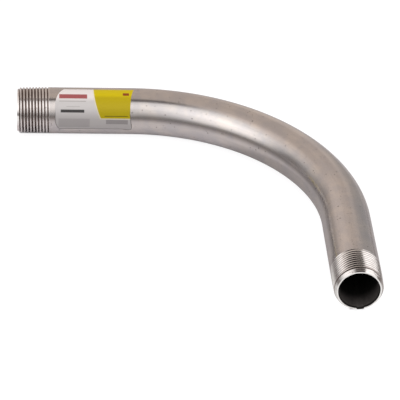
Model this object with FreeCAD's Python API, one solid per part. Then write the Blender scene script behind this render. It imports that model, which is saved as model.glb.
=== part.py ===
import FreeCAD, Part
import math
import os

# Conduit elbow: one length of stainless pipe, bent once through a right angle, with a tapered
# pipe thread cut on both ends. A film label is stuck round one of the straight lengths.
# The elbow lies on its side, as it comes to rest: both legs are level, and the origin is on the
# surface it lies on, under the middle of its outline.
# Lengths are in millimetres and angles in degrees.

# Pipe and bend
pipe_diameter = 26.67
wall_thickness = 2.72
bend_radius = 114.3
straight_length = 66.675

# Tapered thread: pitch and taper, and the grooves that it shows on each end
inch = 25.4
threads_per_inch = 14
taper_on_diameter = 1 / 16
groove_depth_per_pitch = 0.8
flank_angle = 30.0
crests_reach_pipe_at = 10.24
first_groove_at = 1.72
full_groove_count = 6
runout_groove_count = 4
last_groove_depth = 0.6
cutter_overrun = 0.5

# Ends: a chamfered nose that the first groove runs into, a narrow end face, and a reamed mouth
nose_chamfer_width = 1.0
nose_chamfer_length = 1.5
end_face_width = 0.6
ream_depth = 1.4

# Nick that the reamed mouth of the near end has at its lowest point
nick_radius = 2.2
nick_depth = 0.65
nick_length = 1.1

# Film label, measured flat: its height goes round the pipe
label_height = 27.2
label_below_level = 5.0
label_thickness = 0.12
label_corner_radius = 4.0
label_from_thread = 4.1
label_from_bend = 0.4

# Sizes that follow from the ones above
right_angle = 90.0
full_turn = 360.0
pipe_radius = pipe_diameter / 2
bore_radius = pipe_radius - wall_thickness
centre_to_end = bend_radius + straight_length
thread_pitch = inch / threads_per_inch
groove_depth = groove_depth_per_pitch * thread_pitch
taper_slope = taper_on_diameter / 2
groove_count = full_groove_count + runout_groove_count
crest_end_radius = pipe_radius - crests_reach_pipe_at * taper_slope
root_end_radius = crest_end_radius - groove_depth
nose_radius = crest_end_radius - nose_chamfer_width
mouth_radius = nose_radius - end_face_width

origin = FreeCAD.Vector(0, 0, 0)
axis_x = FreeCAD.Vector(1, 0, 0)
axis_y = FreeCAD.Vector(0, 1, 0)
axis_z = FreeCAD.Vector(0, 0, 1)


def crest_radius(distance):
    """Radius over the crests at a distance from the end face: a cone that ends in the plain pipe."""
    return min(pipe_radius, crest_end_radius + distance * taper_slope)


def groove_distance(groove):
    """Distance from the end face to the middle of a groove, counted from zero at the nose."""
    return first_groove_at + groove * thread_pitch


def root_radius(groove):
    """Radius at a groove's root: on the taper, then climbing towards the pipe as the thread runs out."""
    tapered = root_end_radius + groove_distance(groove) * taper_slope
    climbed = groove + 1 - full_groove_count
    if climbed <= 0:
        return tapered
    share = climbed / runout_groove_count
    return tapered + share * (pipe_radius - last_groove_depth - tapered)


def groove_half_width(groove, radius):
    """Half of a groove's width at a radius, from the height above its root and the flanks' slope."""
    return (radius - root_radius(groove)) * math.tan(math.radians(flank_angle))


def thread_length():
    """Length of the threaded end, up to the far edge of its last groove."""
    last = groove_count - 1
    return groove_distance(last) + groove_half_width(last, pipe_radius)


def section(outline):
    """A flat face in the XZ plane, from corners given as radius and distance from the end face."""
    corners = [FreeCAD.Vector(radius, 0, distance) for radius, distance in outline]
    return Part.Face(Part.makePolygon(corners + corners[:1]))


def groove_section(groove):
    """The V that cuts one groove: its tip at the root, its open side clear outside the pipe."""
    outside = pipe_radius + cutter_overrun
    middle = groove_distance(groove)
    half_width = groove_half_width(groove, outside)
    tip = (root_radius(groove), middle)
    return section([tip, (outside, middle - half_width), (outside, middle + half_width)])


def threaded_leg():
    """A straight leg standing on its end face, with its nose, tapered thread and reamed mouth."""
    wall = section([
        (bore_radius, ream_depth),
        (mouth_radius, 0),
        (nose_radius, 0),
        (crest_radius(nose_chamfer_length), nose_chamfer_length),
        (pipe_radius, crests_reach_pipe_at),
        (pipe_radius, straight_length),
        (bore_radius, straight_length),
    ])
    grooved = wall.cut([groove_section(groove) for groove in range(groove_count)])
    return grooved.Faces[0].revolve(origin, axis_z, full_turn)


def left_leg():
    """The leg that runs from the left end to the bend, along X."""
    leg = threaded_leg()
    leg.rotate(origin, axis_y, right_angle)
    leg.translate(-centre_to_end * axis_x)
    return leg


def near_leg():
    """The leg that runs from the near end to the bend, along Y."""
    leg = threaded_leg()
    leg.rotate(origin, axis_x, -right_angle)
    leg.translate(-centre_to_end * axis_y)
    return leg


def bend():
    """A quarter of a hollow ring that joins the two legs, with its centre inside the corner."""
    start = -bend_radius * axis_x
    centre = start - bend_radius * axis_y
    outer = Part.Wire(Part.makeCircle(pipe_radius, start, axis_x))
    inner = Part.Wire(Part.makeCircle(bore_radius, start, axis_x))
    ring = Part.Face(outer).cut(Part.Face(inner))
    return ring.revolve(centre, axis_z, -right_angle)


def mouth_nick():
    """Round tool that bites into the lowest point of the near end's reamed mouth."""
    below_axis = mouth_radius + nick_depth - nick_radius
    corner = -centre_to_end * axis_y - below_axis * axis_z
    return Part.makeCylinder(nick_radius, nick_length, corner, axis_y)


def conduit_elbow():
    """The whole pipe as one solid: two threaded legs and the bend between them."""
    pipe = left_leg().fuse([bend(), near_leg()])
    return pipe.cut(mouth_nick()).Solids[0]


def label_start():
    """Distance from the left end face to the label's near edge, clear of the thread."""
    return thread_length() + label_from_thread


def label_end():
    """Distance from the left end face to the label's far edge, short of the bend."""
    return straight_length - label_from_bend


def strip():
    """Film bent round the left leg, from its lower edge to its upper edge, with square corners."""
    outside = pipe_radius + label_thickness
    corners = [
        FreeCAD.Vector(label_start(), -pipe_radius, 0),
        FreeCAD.Vector(label_end(), -pipe_radius, 0),
        FreeCAD.Vector(label_end(), -outside, 0),
        FreeCAD.Vector(label_start(), -outside, 0),
    ]
    lower_edge = Part.Face(Part.makePolygon(corners + corners[:1]))
    lower_edge.rotate(origin, axis_x, math.degrees(label_below_level / pipe_radius))
    return lower_edge.revolve(origin, axis_x, -math.degrees(label_height / pipe_radius))


def corner_waste(along, around):
    """What a round corner leaves out of a square one: a block less a post, both pointing outwards.

    The post stands one corner radius in from both edges. The signs say which corner: +1 or -1
    along the pipe, and +1 (upper) or -1 (lower) around it.
    """
    reach = pipe_radius + 2 * label_corner_radius
    side = 2 * label_corner_radius
    block = Part.makeBox(side, reach, side, FreeCAD.Vector(0, -reach, 0))
    block = block.cut(Part.makeCylinder(label_corner_radius, reach, origin, -axis_y))
    if along < 0:
        block = block.mirror(origin, axis_x)
    if around < 0:
        block = block.mirror(origin, axis_z)
    edge = label_height - label_below_level if around > 0 else -label_below_level
    post_angle = math.degrees(edge / pipe_radius)
    post_angle -= around * math.degrees(math.asin(label_corner_radius / pipe_radius))
    post_place = label_end() if along > 0 else label_start()
    block.rotate(origin, axis_x, -post_angle)
    block.translate((post_place - along * label_corner_radius) * axis_x)
    return block


def label():
    """The film label with its four rounded corners, in place on the left leg."""
    waste = [corner_waste(along, around) for along in (-1, 1) for around in (-1, 1)]
    film = strip().cut(waste)
    film.translate(-centre_to_end * axis_x)
    return film.Solids[0]


def placed(shape):
    """Moves a shape from the point where the leg axes cross to the elbow's own origin."""
    half_span = (centre_to_end - pipe_radius) / 2
    shape.translate(FreeCAD.Vector(half_span, half_span, pipe_radius))
    return shape


os.makedirs("parts", exist_ok=True)
placed(conduit_elbow()).exportStep("parts/conduit_elbow.step")
placed(label()).exportStep("parts/label.step")
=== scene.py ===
import math

import bmesh
import bpy
import numpy as np
from mathutils import Matrix


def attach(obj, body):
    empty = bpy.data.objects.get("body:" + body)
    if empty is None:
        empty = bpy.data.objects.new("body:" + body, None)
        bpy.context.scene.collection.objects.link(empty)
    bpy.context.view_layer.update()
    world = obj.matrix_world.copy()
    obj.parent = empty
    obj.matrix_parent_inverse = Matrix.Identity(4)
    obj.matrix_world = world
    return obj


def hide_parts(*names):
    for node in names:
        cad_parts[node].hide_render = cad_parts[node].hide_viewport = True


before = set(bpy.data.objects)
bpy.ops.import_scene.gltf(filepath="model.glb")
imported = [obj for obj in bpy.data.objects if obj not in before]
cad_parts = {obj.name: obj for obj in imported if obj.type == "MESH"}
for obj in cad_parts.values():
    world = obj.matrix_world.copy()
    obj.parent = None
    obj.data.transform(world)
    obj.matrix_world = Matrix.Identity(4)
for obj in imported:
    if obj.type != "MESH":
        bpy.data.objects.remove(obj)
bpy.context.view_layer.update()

# Lengths are in millimetres up to the point where a mesh is made, and angles in degrees, unless a
# comment says metres. A pair that a mask uses is where the mask is 0 and where it is 1.
METRES = 0.001

# Pipe, bend and taper: the sizes of the solids
PIPE_RADIUS = 13.335
BORE_RADIUS = 10.615
BEND_RADIUS = 114.3
LEG_LENGTH = 66.675
THREAD_PITCH = 1.8143
THREAD_TAPER = 1 / 32
CREST_RADIUS_AT_END = 13.015
REAM_DEPTH = 1.4
HALF_SPAN = (BEND_RADIUS + LEG_LENGTH - PIPE_RADIUS) / 2
BEND_LENGTH = BEND_RADIUS * math.pi / 2
FULL_LENGTH = 2 * LEG_LENGTH + BEND_LENGTH

# Section of the groove: a V with rounded edges, whose rounding is at most a share of its depth
ROOT_RADIUS_AT_END = 11.96
ROOT_HALF_WIDTH = 0.035
FLANK_ANGLE = 30.0
LEFT_ROUNDING = 0.16
NEAR_ROUNDING = 0.3
ROUNDING_PER_DEPTH = 0.6
CREST_MARGIN = 0.03

# How the helix starts and runs out, as distances from the end face
LEFT_END_AT = 0.85
FIRST_TURN_AT = 1.4
GROOVE_STARTS_AT = 1.0
RUNOUT_FROM = 13.0
RUNOUT_TO = 18.6
LAST_GROOVE_DEPTH = 0.85
GROOVE_ENDS_AT = (18.75, 19.35)
THREAD_ZONE = 19.4
HELIX_TURNS = range(-1, 12)

# Noses and mouths. A mouth's edge is a little uneven: waves of (height, number round, phase)
LEFT_NOSE_RADIUS = 12.015
NEAR_NOSE_RADIUS = 11.82
NOSE_SLOPE = 0.6
MOUTH_RADIUS = 11.15
MOUTH_WAVES = ((0.03, 5, 0.7), (0.02, 11, 0.0))

# Nick in the mouth of the near end, the share of it left at the ream's inner edge, and how far
# behind that edge it is gone
NICK_DEPTH = 0.82
NICK_HALF_ANGLE = 10.5
NICK_AT = 277.0
NICK_AT_REAM = 0.4
NICK_FADES_OVER = 1.0

# Plain rings on each leg: how far past the thread, and how far before the bend
RING_PAST_THREAD = 6
RING_BEFORE_BEND = 8

# Oil and painted shade by the depth of the groove: the near thread is less dark, apart from its
# first turns
NEAR_OIL_AND_SHADE = 0.6
FIRST_GROOVE_OIL_AND_SHADE = 4.0
FIRST_GROOVE_TURNS = 1.2

# Where the oil and painted shade start to show and cover the steel, where the groove is darker, on
# the lower half by the height from the pipe's centre, and where it is black, by the oil and shade
# value itself
OIL_AND_SHADE_SHOW = (0.3, 0.85)
GROOVE_DARKER_BELOW = (1.0, -10.0)
OIL_AND_SHADE_BLACK = (1.1, 1.7)

# Label on the left leg: u runs along the pipe from the left end face, v around it from level
LABEL_THICKNESS = 0.12
LABEL_START = 22.5
LABEL_END = 67.9
LABEL_LOW = -5.0
LABEL_HIGH = 22.2

# Its left edge moves in above and below a height v, as (height, how far, power). Its right edge is
# hollow, as (middle height, half height, depth), and its lower right corner has a radius
LEFT_EDGE_ABOVE = (8.0, 5.2, 2.4)
LEFT_EDGE_BELOW = (4.0, 2.6, 3)
RIGHT_EDGE_HOLLOW = (8.0, 14.0, 2.0)
RIGHT_CORNER = 2.5

# Corners that have let go: the rise, and the masks by the distance from the edge and by v. The
# film's underside rises by a share of that
LOOSE_RIGHT = (0.45, (5.0, 0.0), (3.5, -1.5))
LOOSE_LEFT = (0.1, (3.0, 0.0), (5.0, -1.0))
UNDERSIDE_SHARE = 0.9

# Grids and shading
COLUMNS = 192
BEND_ROWS = 72
LABEL_COLUMNS = 120
LABEL_ROWS = 64
MERGE_DISTANCE = 0.0004
PIPE_SHARP_ANGLE = 34.0
LABEL_SHARP_ANGLE = 40.0

# Finishes of the pipe, as the order of its materials: the last paints the bore dark as shade
SATIN, CUT, BORE_SHADE = 0, 1, 2

# Painted shade in the bore, as distances from an end face: darker inside, and dark at the ream's
# edge
BORE_SHADE_DEEPENS = (3.5, 13.5)
LEFT_REAM_SHADE = (2.3, 1.7)
NEAR_REAM_SHADE = (1.45, 0.85)

# Label's colours by v, with light and shade painted on: where the ground turns white upwards and
# grey downwards, where the yellow turns light upwards and deep downwards, and where a painted shade
# line runs along the film's edges low down, also by the edge's distance
GROUND_PAINTED_LIT = (12.0, 15.5)
GROUND_PAINTED_SHADE = (10.5, 1.0)
YELLOW_PAINTED_LIT = (14.5, 17.2)
YELLOW_PAINTED_SHADE = (10.0, 5.0)
EDGE_SHADE_LOW, EDGE_SHADE_WIDTH = (9.0, 4.0), (0.6, 0.15)

# Yellow field on the label: its left side is a parabola u = side + bend * (top - v)^2. The field
# and its pale rim have masks by the distance past that curve and by v
FIELD_TOP = 21.5
FIELD_SIDE = 44.8
FIELD_BEND = 0.0117
FIELD_PAST_CURVE, FIELD_ABOVE = (-0.15, 0.15), (2.45, 2.75)
RIM_PAST_CURVE, RIM_ABOVE = (-0.75, -0.45), (1.9, 2.2)

# Plain bars on the label: (left, right, low, high), ink, and how well the ink covers
BARS = (((24.9, 41.0, 14.3, 17.3), (0.3, 0.016, 0.02, 1), 0.88),
        ((61.6, 65.2, 16.6, 18.6), (0.22, 0.012, 0.014, 1), 0.9),
        ((24.9, 40.4, 12.35, 12.75), (0.3, 0.28, 0.27, 1), 0.8),
        ((29.1, 36.8, 9.15, 9.45), (0.32, 0.31, 0.3, 1), 0.7),
        ((25.8, 39.4, 5.9, 7.6), (0.012, 0.012, 0.012, 1), 0.92),
        ((24.6, 42.6, -3.4, 2.4), (0.2, 0.19, 0.19, 1), 0.35),
        ((51.1, 64.6, 3.75, 4.15), (0.04, 0.04, 0.01, 1), 0.85),
        ((52.0, 64.6, -1.0, 1.8), (0.14, 0.13, 0.13, 1), 0.55))
BAR_EDGE = 0.12

# Camera: its place, the directions of the picture, and the lens
CAMERA_AT = (-84.922, -1121.40, 731.364)
PICTURE_RIGHT = (0.9976683649, -0.0525971290, 0.0434899496)
PICTURE_DOWN = (0.0079400456, -0.5434524149, -0.8394024234)
PICTURE_AHEAD = (0.0677848757, 0.8377905554, -0.5417676585)
FOCAL_LENGTH = 216.806
SENSOR_WIDTH = 36.0
SEES_FROM, SEES_TO = 0.05, 20.0  # metres

# Studio light by direction, as (lift, brightness): ahead of the left leg, to the left, to the right
LIFT_FROM, LIFT_TO = -100.0, 260.0
DIM_ROOM = 0.3
LIGHT_AHEAD = ((-100, 0.3), (2, 0.32), (14, 0.63), (28, 1.05), (44, 1.4), (62, 1.42),
               (74, 1.15), (86, 0.85), (96, 0.6), (188, 0.57), (200, 0.42), (260, 0.4))
LIGHT_LEFT = ((-100, 0.3), (2, 0.38), (14, 1.06), (24, 1.48), (48, 1.95), (60, 1.93),
              (76, 1.55), (90, 1.25), (104, 0.99), (130, 0.81), (150, 0.64), (174, 0.36),
              (185, 0.12), (196, 0.12), (208, 0.3), (260, 0.4))
LIGHT_RIGHT = ((-100, 0.3), (2, 0.4), (14, 1.6), (60, 1.7), (92, 1.5), (106, 1.1),
               (126, 0.6), (150, 0.48), (190, 0.42), (260, 0.35))

# Where these lights give way to each other. The masks by side differ in front and behind, and the
# masks by lift lead from the one to the other
LEFT_IN_FRONT, LEFT_BEHIND = (-2, -44), (-25, -41)
LEFT_CHANGES = (96, 124)
DIM_LEFT_IN_FRONT, DIM_LEFT_BEHIND = (-53, -94), (-54, -77)
DIM_LEFT_CHANGES = (110, 130)
RIGHT_LIGHT = (8, 30)

# Patches laid over the light in this order, as (brightness, masks by lift, masks by side): the lit
# part of the wall, the part that shows in the bend's outer rim, the gap overhead between the light
# and the wall, the spot where that gap is wider, and the dim corner behind on the right
LIT_WALL = (0.74, ((130, 146), (172, 160)), ((8, -20), (-36, -30)))
LIT_RIM = (0.7, ((144, 160),), ((5, 10), (21, 14)))
DARK_GAP = (0.12, ((76, 80), (94, 90)), ((-24, -6), (28, 21)))
DARK_SPOT = (0.12, ((66, 74), (104, 94)), ((5, 10), (28, 22)))
DIM_CORNER = (0.25, ((116, 134),), ((52, 72),))

# The wall's warm tint, as masks by lift and by side, and the dim light's tint, by brightness
WARM_WALL = (((82, 100),), ((-75, -25), (42, 4)))
DIM_TINT = (0.5, 0.15)

# Table, in metres
TABLE_RADIUS = 0.6
TABLE_CORNERS = 96
TABLE_LOWERED = 0.00002
WHITE_STRENGTH = 1.2
ROOM_IN_TABLE = DIM_ROOM - 0.03

# Shares of plain white in the table, and their masks in metres. Steel sees most of it white in
# front of the pipe, by y, and past its left end for rays that haven't come far, by x, by y and by
# the ray's length, and elsewhere a little, away from the pipe: painted pools of light that only
# reflections show. The camera sees the same share all over, apart from a contact shadow near the
# pipe's centre line, between the legs' ends
WHITE_IN_STEEL = 0.85
WHITE_IN_FRONT = (-0.06, -0.09)
WHITE_AT_LEFT = ((-0.1, -0.12), (-0.04, 0.0), (0.13, 0.07))
SHEEN_IN_STEEL = 0.15
SHEEN_AWAY_FROM_PIPE = (0.006, 0.022)
WHITE_TO_CAMERA = 0.75
SHADOW_UNDER_PIPE = (0.0046, 0.003)
SHADOW_FROM_ENDS = (-0.0955, -0.0945)

# Shares of the dim room that steel sees in the table, as a painted reflection: by how level the ray
# is, inside the bend by x and by y in metres, where it is painted shade between the arms, and less
# beyond the bend, by y
ROOM_AT_LOW_ANGLES = (0.42, 0.94)
SHADE_INSIDE_BEND = 0.52
INSIDE_BEND = ((0.012, 0.036), (-0.105, -0.085))
ROOM_LOST_BEYOND = 0.4
BEYOND_BEND = (0.055, 0.09)

# Dark card in front of the near end: its reach across, its lower and its upper edge as (y, z),
# where it goes from dark to bright, how bright it is where dark, and how much brighter it gets
CARD_ACROSS = (-14.0, 133.0)
CARD_LOW = (-198.0, 37.0)
CARD_HIGH = (-123.4, 200.0)
CARD_FADES = (44.0, -14.0)
CARD_DARK = 0.02
CARD_BRIGHTER = 1.1


def smooth_step(low, high, value):
    """0 at low and before it, 1 at high and past it, and 3t^2 - 2t^3 between them."""
    t = np.clip((value - low) / (high - low), 0, 1)
    return t * t * (3 - 2 * t)


def along_pipe(distance, angle, radius):
    """Points in the row frame, in millimetres.

    The centre line runs straight for one leg, turns through a right angle at the bend radius and
    runs straight again. A point stands off it by radius, in the direction that is cos(angle) away
    from the bend's centre and sin(angle) up: P = C(s) + r (cos a * outwards(s) + sin a * up).
    """
    distance, angle, radius = np.broadcast_arrays(distance, angle, radius)
    turn = np.clip(distance - LEG_LENGTH, 0, BEND_LENGTH) / BEND_RADIUS
    straight = np.minimum(distance - LEG_LENGTH, 0)
    straight = straight + np.maximum(distance - LEG_LENGTH - BEND_LENGTH, 0)
    away = BEND_RADIUS + radius * np.cos(angle)
    corner = HALF_SPAN - BEND_RADIUS
    x = corner + away * np.sin(turn) + straight * np.cos(turn)
    y = corner + away * np.cos(turn) - straight * np.sin(turn)
    z = PIPE_RADIUS + radius * np.sin(angle)
    return np.stack([x, y, z], axis=-1)


def nose_radius(end):
    """Outer radius of the end face: the near end has the wider chamfer."""
    return LEFT_NOSE_RADIUS if end > 0 else NEAR_NOSE_RADIUS


def surface_radius(distance, end):
    """Radius before the groove is cut: the least of the nose's cone, the crest cone and the pipe.

    end is where the end face stands, as a distance from the solid's own.
    """
    nose = nose_radius(end) + NOSE_SLOPE * (distance - end)
    crest = CREST_RADIUS_AT_END + THREAD_TAPER * distance
    return np.minimum(np.minimum(nose, crest), PIPE_RADIUS)


def root_radius(middle, end):
    """Radius at the groove's root: along the taper, climbing through the run-out, then out."""
    tapered = ROOT_RADIUS_AT_END + THREAD_TAPER * middle
    climbing = np.clip((middle - RUNOUT_FROM) / (RUNOUT_TO - RUNOUT_FROM), 0, 1)
    root = tapered + climbing * (PIPE_RADIUS - LAST_GROOVE_DEPTH - tapered)
    shallow = smooth_step(*GROOVE_ENDS_AT, middle)
    entry = 1 - smooth_step(GROOVE_STARTS_AT, FIRST_TURN_AT, middle)
    surface = surface_radius(middle, end)
    return root + np.maximum(shallow, entry) * (surface - root)


def flank_edges(middle, end):
    """Where the two flanks of the V leave the surface, as distances from the end face.

    A flank rises by 1 / tan(flank angle) from the root. It is set equal to each of the three
    surfaces in turn: the near flank meets the surface at the last of the three distances, and
    the far flank at the first.
    """
    rise = 1 / math.tan(math.radians(FLANK_ANGLE))
    root = root_radius(middle, end)
    near, far = [], []
    nose = (nose_radius(end) - NOSE_SLOPE * end, NOSE_SLOPE)
    for start, slope in (nose, (CREST_RADIUS_AT_END, THREAD_TAPER), (PIPE_RADIUS, 0.0)):
        near.append((root + rise * (middle - ROOT_HALF_WIDTH) - start) / (rise + slope))
        far.append((start - root + rise * (middle + ROOT_HALF_WIDTH)) / (rise - slope))
    near = np.minimum(np.max(near, axis=0), middle - ROOT_HALF_WIDTH)
    far = np.maximum(np.min(far, axis=0), middle + ROOT_HALF_WIDTH)
    return near, far


def thread_rows(angle, hand, end):
    """Rows of the threaded end, as lists of distance, radius and depth below the surface.

    The groove is one helix: its middle is at s = first + pitch * (turn + hand * angle / 2 pi).
    Each turn gives ten rows: the near edge rounded over, both sides of the root, the far edge
    rounded over, and one row just outside each rounding, which keeps the crest flat. A rounded
    edge is an arc of radius q that touches the surface and the flank:
    s = edge -+ q tan(t / 2) +- q sin(a), depth = q (1 - cos a), with a from 0 to t = 60 degrees.
    Rows that would fall outside the threaded length are held at its ends.
    """
    rows = []
    steep = math.radians(90.0 - FLANK_ANGLE)
    arc = [(math.sin(a), 1 - math.cos(a)) for a in (0, steep / 2, steep)]
    widest = LEFT_ROUNDING if end > 0 else NEAR_ROUNDING
    for turn in HELIX_TURNS:
        middle = FIRST_TURN_AT + THREAD_PITCH * (turn + hand * angle / (2 * np.pi))
        near, far = flank_edges(middle, end)
        root = root_radius(middle, end)
        deepest = surface_radius(middle, end) - root
        rounding = np.minimum(widest, ROUNDING_PER_DEPTH * deepest)
        back = rounding * math.tan(steep / 2)
        cuts = [(near - back - CREST_MARGIN, 0.0)]
        cuts += [(near - back + rounding * along, rounding * down) for along, down in arc]
        cuts += [(middle - ROOT_HALF_WIDTH, None), (middle + ROOT_HALF_WIDTH, None)]
        cuts += [(far + back - rounding * along, rounding * down) for along, down in arc[::-1]]
        cuts += [(far + back + CREST_MARGIN, 0.0)]
        for place, depth in cuts:
            held = np.clip(place, end, THREAD_ZONE)
            surface = surface_radius(held, end)
            inside = (place > end) & (place < THREAD_ZONE)
            cut = np.minimum(root, surface) if depth is None else surface - depth
            radius = np.where(inside, cut, surface)
            rows.append((held, radius, surface - radius))
    return rows


def piece_from_grid(name, points, values, materials=None):
    """A mesh from a grid of points, rows by columns, in millimetres.

    Faces join each row to the next and the last row to the first, and each column to the next.
    values are attributes of the points, and materials gives one number for each row of faces.
    """
    rows, columns = points.shape[:2]
    low = np.arange(rows * columns).reshape(rows, columns)
    high = np.roll(low, -1, axis=0)
    quads = np.stack([low[:, :-1], low[:, 1:], high[:, 1:], high[:, :-1]], axis=-1)
    mesh = bpy.data.meshes.new(name)
    mesh.from_pydata(points.reshape(-1, 3) * METRES, [], quads.reshape(-1, 4))
    if materials is not None:
        per_face = np.repeat(materials, columns - 1).astype(np.int32)
        mesh.polygons.foreach_set("material_index", per_face)
    for key, value in values.items():
        kind, field = ("FLOAT_VECTOR", "vector") if value.ndim == 3 else ("FLOAT", "value")
        layer = mesh.attributes.new(key, kind, "POINT")
        layer.data.foreach_set(field, value.astype(np.float32).ravel())
    mesh.update()
    piece = bpy.data.objects.new(name, mesh)
    bpy.context.scene.collection.objects.link(piece)
    return piece


def closed_ends(piece, rows, columns):
    """Closes the first and the last column of a closed band with strips across its thickness."""
    work = bmesh.new()
    work.from_mesh(piece.data)
    work.verts.ensure_lookup_table()
    for column in (0, columns - 1):
        for row in range(rows // 2 - 1):
            ring = [row, row + 1, rows - 2 - row, rows - 1 - row]
            work.faces.new([work.verts[r * columns + column] for r in ring])
    work.to_mesh(piece.data)
    work.free()


def cleaned(piece):
    """Merges points that coincide, drops faces with no area, and turns all faces outwards.

    Where the groove starts, its rows lie so close that a fold can stay behind: an edge with more
    than two faces, which is drawn together into a point.
    """
    distance = MERGE_DISTANCE * METRES
    work = bmesh.new()
    work.from_mesh(piece.data)
    bmesh.ops.remove_doubles(work, verts=work.verts, dist=distance)
    bmesh.ops.dissolve_degenerate(work, edges=work.edges, dist=distance)
    folded = [edge for edge in work.edges if len(edge.link_faces) > 2]
    bmesh.ops.collapse(work, edges=folded)
    bmesh.ops.recalc_face_normals(work, faces=work.faces)
    work.to_mesh(piece.data)
    work.free()


def shaded(piece, sharp_angle):
    """Smooth shading, with edges sharper than the angle left crisp."""
    faces = piece.data.polygons
    faces.foreach_set("use_smooth", np.ones(len(faces), bool))
    piece.data.set_sharp_from_angle(angle=math.radians(sharp_angle))


def make_pipe():
    """The whole elbow as one closed skin: outside from the left end to the near end, back inside.

    Each row is a ring of (distance, radius) round the centre line. The left thread follows the
    angle and the near one its mirror image, because its distances run the other way. One extra
    column closes the seam, where each turn of the helix meets the next. The mouth's radius is
    wavy, and the nick adds depth * sqrt(1 - d^4), with d from 0 at its middle to 1 at its sides.
    """
    angle = np.linspace(0, 2 * np.pi, COLUMNS + 1)
    rows, finish = [], []

    def ring(distance, radius, depth=0.0, material=SATIN):
        """Adds one row. Each size is a number, or one number for each column."""
        sizes = (distance, radius, depth)
        rows.append([np.broadcast_to(np.asarray(size, float), angle.shape) for size in sizes])
        finish.append(material)

    waves = sum(height * np.sin(count * angle + phase) for height, count, phase in MOUTH_WAVES)
    from_nick = np.abs(np.degrees(angle) - NICK_AT) / NICK_HALF_ANGLE
    nick = NICK_DEPTH * np.sqrt(np.clip(1 - from_nick ** 4, 0, 1))

    ring(LEFT_END_AT + REAM_DEPTH, BORE_RADIUS, material=BORE_SHADE)
    ring(LEFT_END_AT, MOUTH_RADIUS + waves, material=CUT)
    ring(LEFT_END_AT, LEFT_NOSE_RADIUS, material=CUT)
    for distance, radius, depth in thread_rows(angle, 1, LEFT_END_AT):
        ring(distance, radius, depth, CUT)
    finish[-1] = SATIN
    ring(THREAD_ZONE + RING_PAST_THREAD, PIPE_RADIUS)
    ring(LEG_LENGTH - RING_BEFORE_BEND, PIPE_RADIUS)
    for turn in np.linspace(0, BEND_LENGTH, BEND_ROWS + 1):
        ring(LEG_LENGTH + turn, PIPE_RADIUS)
    ring(FULL_LENGTH - LEG_LENGTH + RING_BEFORE_BEND, PIPE_RADIUS)
    ring(FULL_LENGTH - THREAD_ZONE - RING_PAST_THREAD, PIPE_RADIUS)
    for distance, radius, depth in thread_rows(angle, -1, 0.0)[::-1]:
        ring(FULL_LENGTH - distance, radius, depth, CUT)
    ring(FULL_LENGTH, NEAR_NOSE_RADIUS, material=CUT)
    ring(FULL_LENGTH, MOUTH_RADIUS + waves + nick, material=BORE_SHADE)
    ring(FULL_LENGTH - REAM_DEPTH, BORE_RADIUS + NICK_AT_REAM * nick, material=BORE_SHADE)
    ring(FULL_LENGTH - REAM_DEPTH - NICK_FADES_OVER, BORE_RADIUS, material=BORE_SHADE)
    for turn in np.linspace(BEND_LENGTH, 0, BEND_ROWS + 1):
        ring(LEG_LENGTH + turn, BORE_RADIUS, material=BORE_SHADE)

    distance, radius, depth = np.array(rows).swapaxes(0, 1)
    from_near_end = FULL_LENGTH - distance
    # Oil and painted shade in the groove, by its depth: less on the near thread, most in its first
    # groove
    oil_and_shade = depth * np.where(from_near_end < FULL_LENGTH / 2, NEAR_OIL_AND_SHADE, 1.0)
    first_groove = from_near_end < FIRST_TURN_AT + FIRST_GROOVE_TURNS * THREAD_PITCH
    oil_and_shade = np.where(first_groove, FIRST_GROOVE_OIL_AND_SHADE * depth, oil_and_shade)
    across, up = PIPE_RADIUS * np.cos(angle), PIPE_RADIUS * np.sin(angle)
    straight = np.stack(np.broadcast_arrays(across, up, distance), axis=-1)
    pipe = piece_from_grid("pipe", along_pipe(distance, angle, radius),
                           {"oil_and_shade": oil_and_shade, "straight": straight}, np.array(finish))
    cleaned(pipe)
    shaded(pipe, PIPE_SHARP_ANGLE)
    return pipe


def label_edges(around):
    """The label's left and right edges at a height v.

    The left edge moves in by a power of the distance above one height and below another. The
    right edge is a parabola about its middle height, and its lower corner is a quarter circle.
    """
    above, inset_above, power_above = LEFT_EDGE_ABOVE
    below, inset_below, power_below = LEFT_EDGE_BELOW
    upper = np.clip((around - above) / (LABEL_HIGH - above), 0, 1)
    lower = np.clip((below - around) / (below - LABEL_LOW), 0, 1)
    left = LABEL_START + inset_above * upper ** power_above + inset_below * lower ** power_below
    middle, half_height, hollow = RIGHT_EDGE_HOLLOW
    right = LABEL_END - hollow
    right = right + hollow * np.clip(np.abs(around - middle) / half_height, 0, 1) ** 2
    corner = np.clip((LABEL_LOW + RIGHT_CORNER - around) / RIGHT_CORNER, 0, 1)
    return left, right - RIGHT_CORNER * (1 - np.sqrt(1 - corner ** 2))


def loose_corner(corner, from_edge, around):
    """How far a corner has let go: its rise times a mask by the edge and a mask by v."""
    rise, by_edge, by_height = corner
    return rise * smooth_step(*by_edge, from_edge) * smooth_step(*by_height, around)


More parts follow.
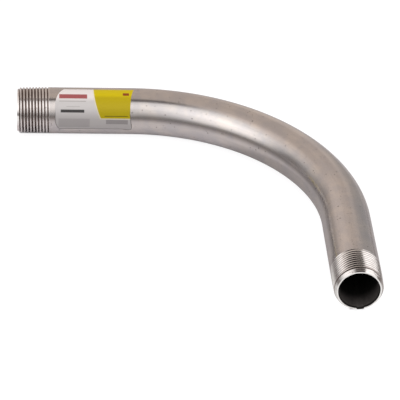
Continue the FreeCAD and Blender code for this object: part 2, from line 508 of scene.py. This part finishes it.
def make_label():
    """The film as a thin closed shell that lies on the left leg.

    Its middle surface is (u, v) with u between the two edges and v from low to high, wrapped
    round the pipe at angle pi - v / radius. Rows lie closer to each other near its upper and
    lower edge. The two corners at its foot have let go a little.
    """
    share_u = np.linspace(0, 1, LABEL_COLUMNS)
    share_v = 0.5 - 0.5 * np.cos(np.linspace(0, np.pi, LABEL_ROWS))
    around = (LABEL_LOW + (LABEL_HIGH - LABEL_LOW) * share_v)[:, None]
    left, right = label_edges(around)
    along = left + (right - left) * share_u
    around = np.broadcast_to(around, along.shape)
    to_edge = np.minimum(np.minimum(along - left, right - along),
                         np.minimum(around - LABEL_LOW, LABEL_HIGH - around))
    lift = loose_corner(LOOSE_RIGHT, right - along, around)
    lift = lift + loose_corner(LOOSE_LEFT, along - left, around)
    angle = np.pi - around / PIPE_RADIUS
    outside = along_pipe(along, angle, PIPE_RADIUS + LABEL_THICKNESS + lift)
    inside = along_pipe(along, angle, PIPE_RADIUS + lift * UNDERSIDE_SHARE)
    place = np.stack([along, around, to_edge], axis=-1)
    label = piece_from_grid("film_label", np.concatenate([outside, inside[::-1]]),
                            {"place": np.concatenate([place, place[::-1]])})
    closed_ends(label, 2 * LABEL_ROWS, LABEL_COLUMNS)
    cleaned(label)
    shaded(label, LABEL_SHARP_ANGLE)
    return label


def camera():
    """The camera that the outline was fitted with.

    Its matrix has the picture's right, up and backwards as columns, and its place.
    """
    data = bpy.data.cameras.new("camera")
    data.sensor_width = SENSOR_WIDTH
    data.lens = FOCAL_LENGTH
    data.clip_start = SEES_FROM
    data.clip_end = SEES_TO
    eye = bpy.data.objects.new("camera", data)
    matrix = np.eye(4)
    matrix[:3, 0] = PICTURE_RIGHT
    matrix[:3, 1] = -np.array(PICTURE_DOWN)
    matrix[:3, 2] = -np.array(PICTURE_AHEAD)
    matrix[:3, 3] = np.array(CAMERA_AT) * METRES
    eye.matrix_world = Matrix(matrix.tolist())
    bpy.context.scene.collection.objects.link(eye)
    bpy.context.scene.camera = eye


def node(tree, kind, inputs=None, **settings):
    """One shader node.

    inputs maps a socket's name or number to a value, or to the socket that feeds it.
    """
    made = tree.nodes.new(kind)
    for key, value in settings.items():
        setattr(made, key, value)
    for key, value in (inputs or {}).items():
        if isinstance(value, bpy.types.NodeSocket):
            tree.links.new(value, made.inputs[key])
        else:
            made.inputs[key].default_value = value
    return made


def split(tree, vector):
    """The three parts of a vector."""
    return node(tree, "ShaderNodeSeparateXYZ", {0: vector}).outputs


def maths(tree, operation, *values):
    """The result of one Math node."""
    return node(tree, "ShaderNodeMath", dict(enumerate(values)), operation=operation).outputs[0]


def times(tree, *values):
    """The product of two or more values."""
    product = values[0]
    for value in values[1:]:
        product = maths(tree, "MULTIPLY", product, value)
    return product


def plus_shares(tree, base, *shares):
    """base + value * weight for each pair of a value and its weight."""
    for value, weight in shares:
        base = maths(tree, "MULTIPLY_ADD", value, weight, base)
    return base


def one_less(tree, value):
    """1 - value."""
    return maths(tree, "SUBTRACT", 1.0, value)


def blend_colour(tree, share, first, second):
    """The colour between two colours, by a share."""
    made = node(tree, "ShaderNodeMix", {0: share, 6: first, 7: second}, data_type="RGBA")
    return made.outputs[2]


def blend(tree, share, first, second):
    """The number between two numbers, by a share."""
    made = node(tree, "ShaderNodeMix", {0: share, 2: first, 3: second}, data_type="FLOAT")
    return made.outputs[0]


def between(tree, value, low, high, kind="SMOOTHSTEP"):
    """0 at low and 1 at high, held outside them."""
    inputs = {0: value, 1: low, 2: high}
    return node(tree, "ShaderNodeMapRange", inputs, interpolation_type=kind).outputs[0]


def masked(tree, *edges):
    """The product of masks, each of them a value with where the mask is 0 and where it is 1."""
    return times(tree, *[between(tree, value, *pair) for value, pair in edges])


def new_material(name):
    """An empty node material and its output node."""
    material = bpy.data.materials.new(name)
    material.use_nodes = True
    material.node_tree.nodes.clear()
    out = node(material.node_tree, "ShaderNodeOutputMaterial")
    return material, material.node_tree, out


def finished(tree, out, colour, rough, height, bump, even):
    """Ends a material with its shader, with a bump as (strength, distance in metres).

    even holds what is the same all over the piece, by the names of the shader's sockets.
    """
    strength, distance = bump
    raised = node(tree, "ShaderNodeBump",
                  {"Strength": strength, "Distance": distance, "Height": height})
    varied = {"Base Color": colour, "Roughness": rough, "Normal": raised.outputs[0]}
    shader = node(tree, "ShaderNodeBsdfPrincipled", {**varied, **even})
    tree.links.new(shader.outputs[0], out.inputs[0])


def steel_surface_group():
    """Node group: scattered pits, lengthwise streaks, a slow cloud and a height, from one vector.

    The vector is the pipe laid straight, in millimetres, so that streaks follow the bend. A pit is
    a small ball round the middle of a random cell, kept in one cell out of a few. Its radius is
    the group's own times 0.3 to 1.3, by the cell's random green.
    """
    group = bpy.data.node_groups.new("steel_surface", "ShaderNodeTree")
    sockets = group.interface
    sockets.new_socket("Place", in_out="INPUT", socket_type="NodeSocketVector")
    for name, value in (("Pit Spacing", 1.5), ("Pit Radius", 0.25), ("Pit Share", 0.3),
                        ("Streak Width", 1.0), ("Stretch", 0.05)):
        made = sockets.new_socket(name, in_out="INPUT", socket_type="NodeSocketFloat")
        made.default_value = value
    for name in ("Pits", "Streaks", "Cloud", "Height"):
        sockets.new_socket(name, in_out="OUTPUT", socket_type="NodeSocketFloat")
    source = node(group, "NodeGroupInput").outputs
    result = node(group, "NodeGroupOutput")
    place = source["Place"]
    cells = maths(group, "DIVIDE", 1.0, source["Pit Spacing"])
    cell = node(group, "ShaderNodeTexVoronoi",
                {"Vector": place, "Scale": cells, "Randomness": 1.0}).outputs
    red, green, _ = node(group, "ShaderNodeSeparateColor", {0: cell["Color"]}).outputs
    reach = times(group, source["Pit Radius"], cells, maths(group, "ADD", green, 0.3))
    dot = between(group, cell["Distance"], reach, 0.0)
    chosen = maths(group, "LESS_THAN", red, source["Pit Share"])
    pits = times(group, dot, chosen)
    squeeze = node(group, "ShaderNodeCombineXYZ", {0: 1.0, 1: 1.0, 2: source["Stretch"]})
    stretched = node(group, "ShaderNodeVectorMath", {0: place, 1: squeeze.outputs[0]},
                     operation="MULTIPLY")
    width = maths(group, "DIVIDE", 1.0, source["Streak Width"])
    streaks = node(group, "ShaderNodeTexNoise", {"Vector": stretched.outputs[0], "Scale": width,
                                                 "Detail": 5.0, "Roughness": 0.65}).outputs[0]
    cloud = node(group, "ShaderNodeTexNoise", {"Vector": place, "Scale": 0.09,
                                               "Detail": 6.0, "Roughness": 0.6}).outputs[0]
    height = maths(group, "SUBTRACT", streaks, pits)
    for name, value in (("Pits", pits), ("Streaks", streaks), ("Cloud", cloud), ("Height", height)):
        group.links.new(value, result.inputs[name])
    return group


def grain_on_pipe(tree, surface, **sizes):
    """The surface group's outputs and the pipe laid straight, which it is fed with.

    The sizes are in millimetres, named for the group's inputs.
    """
    straight = node(tree, "ShaderNodeAttribute", attribute_name="straight").outputs["Vector"]
    grain = node(tree, "ShaderNodeGroup", node_tree=surface)
    for name, value in sizes.items():
        grain.inputs[name.replace("_", " ").title()].default_value = value
    tree.links.new(straight, grain.inputs["Place"])
    return grain.outputs, straight


def satin_steel(surface):
    """The drawn and bent pipe: warm grey and slightly cloudy, with faint streaks and dark pits."""
    cool, warm = (0.515, 0.498, 0.495, 1), (0.595, 0.56, 0.528, 1)
    streak, pit = (0.48, 0.456, 0.438, 1), (0.1, 0.085, 0.08, 1)
    material, tree, out = new_material("satin_steel")
    grain, _ = grain_on_pipe(tree, surface, pit_spacing=2.0, pit_radius=0.58, pit_share=0.4,
                             streak_width=1.3, stretch=0.04)
    colour = blend_colour(tree, between(tree, grain["Cloud"], 0.35, 0.65), cool, warm)
    colour = blend_colour(tree, between(tree, grain["Streaks"], 0.4, 1.0), colour, streak)
    colour = blend_colour(tree, times(tree, grain["Pits"], 0.85), colour, pit)
    rough = plus_shares(tree, 0.17, (grain["Streaks"], 0.06), (grain["Pits"], 0.2))
    finished(tree, out, colour, rough, grain["Height"], (0.16, 0.0001), {"Metallic": 1.0})
    return material


def cut_steel(surface):
    """Bright cut steel on thread, nose and mouth, brown down the groove with oil and painted shade.

    The groove is darker on the lower half of the pipe, and nearly black in the first near groove.
    """
    bright, brushed = (0.75, 0.73, 0.71, 1), (0.66, 0.635, 0.615, 1)
    upper_oil_and_shade, lower_oil_and_shade = (0.32, 0.27, 0.25, 1), (0.13, 0.105, 0.1, 1)
    black_oil_and_shade, pit = (0.05, 0.042, 0.038, 1), (0.1, 0.08, 0.07, 1)
    material, tree, out = new_material("cut_steel")
    grain, straight = grain_on_pipe(tree, surface, pit_spacing=1.6, pit_radius=0.5, pit_share=0.3,
                                    streak_width=2.5, stretch=4.0)
    # Oil and painted shade darken the groove: brown, darker on the lower half, black where the
    # value is high
    groove = node(tree, "ShaderNodeAttribute", attribute_name="oil_and_shade").outputs["Fac"]
    oil_and_shade_cover = between(tree, plus_shares(tree, groove, (grain["Cloud"], 0.5)), *OIL_AND_SHADE_SHOW)
    clean = blend_colour(tree, between(tree, grain["Streaks"], 0.35, 0.65), bright, brushed)
    height = split(tree, straight)[1]
    oil_and_shade = blend_colour(tree, between(tree, height, *GROOVE_DARKER_BELOW), upper_oil_and_shade, lower_oil_and_shade)
    oil_and_shade = blend_colour(tree, between(tree, groove, *OIL_AND_SHADE_BLACK), oil_and_shade, black_oil_and_shade)
    colour = blend_colour(tree, oil_and_shade_cover, clean, oil_and_shade)
    colour = blend_colour(tree, times(tree, grain["Pits"], 0.6), colour, pit)
    rough = plus_shares(tree, 0.14, (grain["Pits"], 0.2), (oil_and_shade_cover, 0.15))
    finished(tree, out, colour, rough, grain["Height"], (0.12, 0.0001), {"Metallic": 1.0})
    return material


def bore_painted_shade(surface):
    """The inside of the pipe: dull, painted dark grey as shade, with lengthwise marks, nearly black
    further in.
    """
    # Painted shade: the bore's steel is dark grey
    grey, light_mark = (0.06, 0.055, 0.053, 1), (0.11, 0.1, 0.096, 1)
    nearly_black = (0.012, 0.011, 0.01, 1)
    material, tree, out = new_material("bore_painted_shade")
    grain, straight = grain_on_pipe(tree, surface, pit_spacing=2.0, pit_radius=0.5, pit_share=0.5,
                                    streak_width=2.0, stretch=0.05)
    along = split(tree, straight)[2]

    def from_near_end(pair):
        """The same distances, from the near end face."""
        return [FULL_LENGTH - distance for distance in pair]

    # Painted shade: nearly black deeper in the bore and at the ream's edge
    inside = maths(tree, "MINIMUM", between(tree, along, *BORE_SHADE_DEEPENS),
                   between(tree, along, *from_near_end(BORE_SHADE_DEEPENS)))
    ream_shade = maths(tree, "MAXIMUM", between(tree, along, *LEFT_REAM_SHADE),
                    between(tree, along, *from_near_end(NEAR_REAM_SHADE)))
    colour = blend_colour(tree, grain["Streaks"], grey, light_mark)
    colour = blend_colour(tree, maths(tree, "MAXIMUM", inside, ream_shade), colour, nearly_black)
    rough = plus_shares(tree, 0.5, (grain["Streaks"], 0.2))
    finished(tree, out, colour, rough, grain["Height"], (0.3, 0.0002), {"Metallic": 0.4})
    return material


def bar_mask(tree, u, v, low_u, high_u, low_v, high_v):
    """1 inside a bar on the label, 0 outside, with a soft edge."""
    soft = BAR_EDGE
    return masked(tree, (u, (low_u - soft, low_u + soft)), (u, (high_u + soft, high_u - soft)),
                  (v, (low_v - soft, low_v + soft)), (v, (high_v + soft, high_v - soft)))


def printed_film():
    """The label: a pale ground, a yellow field with a curved left side, and plain bars.

    Ground and field change with the height v, painted lighter upwards and darker downwards as light
    and shade. The field has a pale rim, and the film's edges low on the pipe carry a painted shade
    line.
    """
    white, pale, grey = (0.77, 0.735, 0.72, 1), (0.57, 0.56, 0.555, 1), (0.4, 0.39, 0.385, 1)
    yellow_painted_lit, yellow = (0.6, 0.48, 0.002, 1), (0.46, 0.365, 0.006, 1)
    yellow_painted_shade, pale_rim = (0.4, 0.32, 0.002, 1), (0.75, 0.71, 0.45, 1)
    edge_shade = (0.1, 0.095, 0.09, 1)
    material, tree, out = new_material("printed_film")
    place = node(tree, "ShaderNodeAttribute", attribute_name="place").outputs["Vector"]
    u, v, edge = split(tree, place)
    # Painted light and shade: the ground is whiter upwards and greyer downwards on the pipe's curve
    ground = blend_colour(tree, between(tree, v, *GROUND_PAINTED_LIT), pale, white)
    ground = blend_colour(tree, between(tree, v, *GROUND_PAINTED_SHADE), ground, grey)

    below_top = maths(tree, "SUBTRACT", FIELD_TOP, v)
    curve = plus_shares(tree, FIELD_SIDE, (times(tree, below_top, below_top), FIELD_BEND))
    past_curve = maths(tree, "SUBTRACT", u, curve)
    in_rim = masked(tree, (past_curve, RIM_PAST_CURVE), (v, RIM_ABOVE))
    in_field = masked(tree, (past_curve, FIELD_PAST_CURVE), (v, FIELD_ABOVE))
    # Painted light and shade: the yellow is lighter upwards and deeper downwards
    field = blend_colour(tree, between(tree, v, *YELLOW_PAINTED_LIT), yellow, yellow_painted_lit)
    field = blend_colour(tree, between(tree, v, *YELLOW_PAINTED_SHADE), field, yellow_painted_shade)
    colour = blend_colour(tree, times(tree, in_rim, 0.5), ground, pale_rim)
    colour = blend_colour(tree, in_field, colour, field)
    for bar, ink, cover in BARS:
        colour = blend_colour(tree, times(tree, bar_mask(tree, u, v, *bar), cover), colour, ink)

    # Painted shade: a dark line along the film's edges low on the pipe
    shaded_edge = masked(tree, (edge, EDGE_SHADE_WIDTH), (v, EDGE_SHADE_LOW))
    colour = blend_colour(tree, times(tree, shaded_edge, 0.8), colour, edge_shade)
    mottle = node(tree, "ShaderNodeTexNoise",
                  {"Vector": place, "Scale": 0.5, "Detail": 3.0}).outputs[0]
    rough = plus_shares(tree, 0.32, (mottle, 0.15))
    finished(tree, out, colour, rough, mottle, (0.25, 0.0002), {"Specular IOR Level": 0.18})
    return material


def light_ramp(tree, share, stops):
    """Brightness along the lift, from a list of (degrees, brightness)."""
    made = node(tree, "ShaderNodeValToRGB", {0: share})
    ramp = made.color_ramp
    place = [(degrees - LIFT_FROM) / (LIFT_TO - LIFT_FROM) for degrees, _ in stops]
    level = [(brightness, brightness, brightness, 1) for _, brightness in stops]
    ramp.elements[0].position, ramp.elements[0].color = place[0], level[0]
    ramp.elements[1].position, ramp.elements[1].color = place[-1], level[-1]
    for position, colour in zip(place[1:-1], level[1:-1]):
        ramp.elements.new(position).color = colour
    return made.outputs[0]


def light_angles(tree):
    """The two angles, in degrees, that name a direction (x, y, z).

    The side is its angle from the plane x = 0, asin(x). The lift is the angle round the X axis,
    atan2(z, -y), from level at the front (0) over the top (90) to level at the back (180).
    """
    direction = node(tree, "ShaderNodeTexCoord").outputs["Generated"]
    x, y, z = split(tree, direction)
    side = maths(tree, "DEGREES", maths(tree, "ARCSINE", x))
    to_front = times(tree, y, -1.0)
    lift = maths(tree, "DEGREES", maths(tree, "ARCTAN2", z, to_front))
    return side, maths(tree, "WRAP", lift, LIFT_TO, LIFT_FROM)


def studio():
    """Soft studio light, as a world whose brightness depends on direction alone.

    A large soft light stands at the front, brightest on the left, and a pale warm wall behind. The
    room beyond the table is dim. Three brightness curves over the lift are blended by the side,
    and patches are laid over them. The camera itself sees plain white.
    """
    cool, warm, dim = (1.0, 0.965, 0.962, 1), (1.12, 0.97, 0.885, 1), (1.0, 0.85, 0.82, 1)
    world = bpy.data.worlds.new("studio")
    bpy.context.scene.world = world
    world.use_nodes = True
    tree = world.node_tree
    tree.nodes.clear()
    out = node(tree, "ShaderNodeOutputWorld")
    side, lift = light_angles(tree)

    def patch(by_lift, by_side):
        """The product of masks by lift and masks by side."""
        edges = [(lift, pair) for pair in by_lift] + [(side, pair) for pair in by_side]
        return masked(tree, *edges)

    def towards_left(changes, in_front, behind):
        """A mask by side in front that changes to another one behind."""
        return blend(tree, between(tree, lift, *changes), between(tree, side, *in_front),
                     between(tree, side, *behind))

    share = between(tree, lift, LIFT_FROM, LIFT_TO, "LINEAR")
    ahead = light_ramp(tree, share, LIGHT_AHEAD)
    left = light_ramp(tree, share, LIGHT_LEFT)
    right = light_ramp(tree, share, LIGHT_RIGHT)
    far_left = towards_left(DIM_LEFT_CHANGES, DIM_LEFT_IN_FRONT, DIM_LEFT_BEHIND)
    left = blend(tree, far_left, left, DIM_ROOM)
    level = blend(tree, towards_left(LEFT_CHANGES, LEFT_IN_FRONT, LEFT_BEHIND), ahead, left)
    level = blend(tree, between(tree, side, *RIGHT_LIGHT), level, right)
    for brightness, *masks in (LIT_WALL, LIT_RIM, DARK_GAP, DARK_SPOT, DIM_CORNER):
        level = blend(tree, patch(*masks), level, brightness)
    tint = blend_colour(tree, patch(*WARM_WALL), cool, warm)
    tint = blend_colour(tree, between(tree, level, *DIM_TINT), tint, dim)
    seen = node(tree, "ShaderNodeLightPath").outputs["Is Camera Ray"]
    level = blend(tree, seen, level, 1.0)
    tint = blend_colour(tree, seen, tint, (1, 1, 1, 1))
    light = node(tree, "ShaderNodeBackground", {"Color": tint, "Strength": level})
    tree.links.new(light.outputs[0], out.inputs[0])


def flat_stage(name, points, material):
    """A one-faced mesh for the floor or a card, given its corners in metres."""
    mesh = bpy.data.meshes.new(name)
    mesh.from_pydata(points, [], [list(range(len(points)))])
    mesh.materials.append(material)
    piece = bpy.data.objects.new(name, mesh)
    bpy.context.scene.collection.objects.link(piece)
    return piece


def away_from_pipe(tree, x, y):
    """Distance on the table from the line under the pipe's centre, in metres.

    With the bend's centre at (c, c), it is | length(max(x - c, 0), max(y - c, 0)) - bend radius |.
    """
    corner = (HALF_SPAN - BEND_RADIUS) * METRES
    past = [maths(tree, "MAXIMUM", maths(tree, "SUBTRACT", value, corner), 0.0) for value in (x, y)]
    flat = node(tree, "ShaderNodeCombineXYZ", dict(enumerate(past)))
    length = node(tree, "ShaderNodeVectorMath", {0: flat.outputs[0]}, operation="LENGTH")
    off = maths(tree, "SUBTRACT", length.outputs["Value"], BEND_RADIUS * METRES)
    return maths(tree, "ABSOLUTE", off)


def make_table():
    """A round pale table top under the elbow.

    It shows white to the camera and keeps a faint shadow. In steel it shows as the lit top with a
    share of white, painted pools of light, which fade into a painted reflection of the dim room at
    low angles, as on a varnished top, and into painted shade between the arms.
    """
    turn = np.linspace(0, 2 * np.pi, TABLE_CORNERS, endpoint=False)
    points = np.stack([TABLE_RADIUS * np.cos(turn), TABLE_RADIUS * np.sin(turn),
                       np.full(TABLE_CORNERS, -TABLE_LOWERED)], axis=-1)
    material, tree, out = new_material("white_table")
    path = node(tree, "ShaderNodeLightPath").outputs
    seen = path["Is Camera Ray"]
    mirrored = maths(tree, "ADD", path["Is Glossy Ray"], path["Is Transmission Ray"])
    x, y, _ = split(tree, node(tree, "ShaderNodeTexCoord").outputs["Object"])
    away = away_from_pipe(tree, x, y)

    # Painted pools of light, seen only in steel: in front of the pipe and past its left end
    at_left = masked(tree, *zip((x, y, path["Ray Length"]), WHITE_AT_LEFT))
    clear = maths(tree, "MAXIMUM", at_left, between(tree, y, *WHITE_IN_FRONT))
    sheen = times(tree, between(tree, away, *SHEEN_AWAY_FROM_PIPE), SHEEN_IN_STEEL)
    in_steel = times(tree, mirrored, plus_shares(tree, sheen, (clear, WHITE_IN_STEEL)))
    between_ends = maths(tree, "MINIMUM", x, y)
    shadow = masked(tree, (away, SHADOW_UNDER_PIPE), (between_ends, SHADOW_FROM_ENDS))
    to_camera = plus_shares(tree, WHITE_TO_CAMERA, (shadow, -WHITE_TO_CAMERA))
    white_share = plus_shares(tree, in_steel, (seen, to_camera))

    # Painted reflection of the dim room at low angles, and painted shade between the arms
    facing = node(tree, "ShaderNodeLayerWeight", {"Blend": 0.5}).outputs["Facing"]
    beyond = between(tree, y, *BEYOND_BEND)
    inside = times(tree, masked(tree, *zip((x, y), INSIDE_BEND)), one_less(tree, beyond))
    room_share = maths(tree, "MAXIMUM", between(tree, facing, *ROOM_AT_LOW_ANGLES),
                       times(tree, inside, SHADE_INSIDE_BEND))
    room_share = times(tree, room_share, plus_shares(tree, 1.0, (beyond, -ROOM_LOST_BEYOND)),
                       one_less(tree, seen), one_less(tree, at_left))

    lit_top = node(tree, "ShaderNodeBsdfDiffuse", {"Color": (0.84, 0.82, 0.855, 1)})
    white = node(tree, "ShaderNodeEmission", {"Color": (1, 1, 1, 1), "Strength": WHITE_STRENGTH})
    room = node(tree, "ShaderNodeEmission",
                {"Color": (1, 0.9, 0.87, 1), "Strength": ROOM_IN_TABLE})
    top = node(tree, "ShaderNodeMixShader",
               {0: white_share, 1: lit_top.outputs[0], 2: white.outputs[0]})
    glossed = node(tree, "ShaderNodeMixShader",
                   {0: room_share, 1: top.outputs[0], 2: room.outputs[0]})
    tree.links.new(glossed.outputs[0], out.inputs[0])
    flat_stage("table", points, material)


def make_dark_card():
    """A dark card that leans over the table in front of the near end, seen in reflections only.

    It gives the near thread its dark stripe. Its left part fades up to the brightness of the light.
    """
    left, right = CARD_ACROSS
    corners = [(left, *CARD_LOW), (right, *CARD_LOW), (right, *CARD_HIGH), (left, *CARD_HIGH)]
    material, tree, out = new_material("dark_card")
    x = split(tree, node(tree, "ShaderNodeTexCoord").outputs["Object"])[0]
    faded = between(tree, x, *[place * METRES for place in CARD_FADES])
    level = plus_shares(tree, CARD_DARK, (faded, CARD_BRIGHTER))
    # Painted reflection: nearly black, and glowing up to the light's brightness at the left
    card_glow = node(tree, "ShaderNodeEmission", {"Color": (1, 0.93, 0.9, 1), "Strength": level})
    tree.links.new(card_glow.outputs[0], out.inputs[0])
    card = flat_stage("dark_card", np.array(corners) * METRES, material)
    card.visible_camera = False
    card.visible_diffuse = False
    card.visible_shadow = False


surface = steel_surface_group()
pipe = make_pipe()
for finish in (satin_steel(surface), cut_steel(surface), bore_painted_shade(surface)):
    pipe.data.materials.append(finish)
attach(pipe, "root")
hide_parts("conduit_elbow")

film_label = make_label()
film_label.data.materials.append(printed_film())
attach(film_label, "root")
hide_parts("label")

studio()
make_table()
make_dark_card()
camera()
bpy.context.scene.view_settings.view_transform = "Standard"
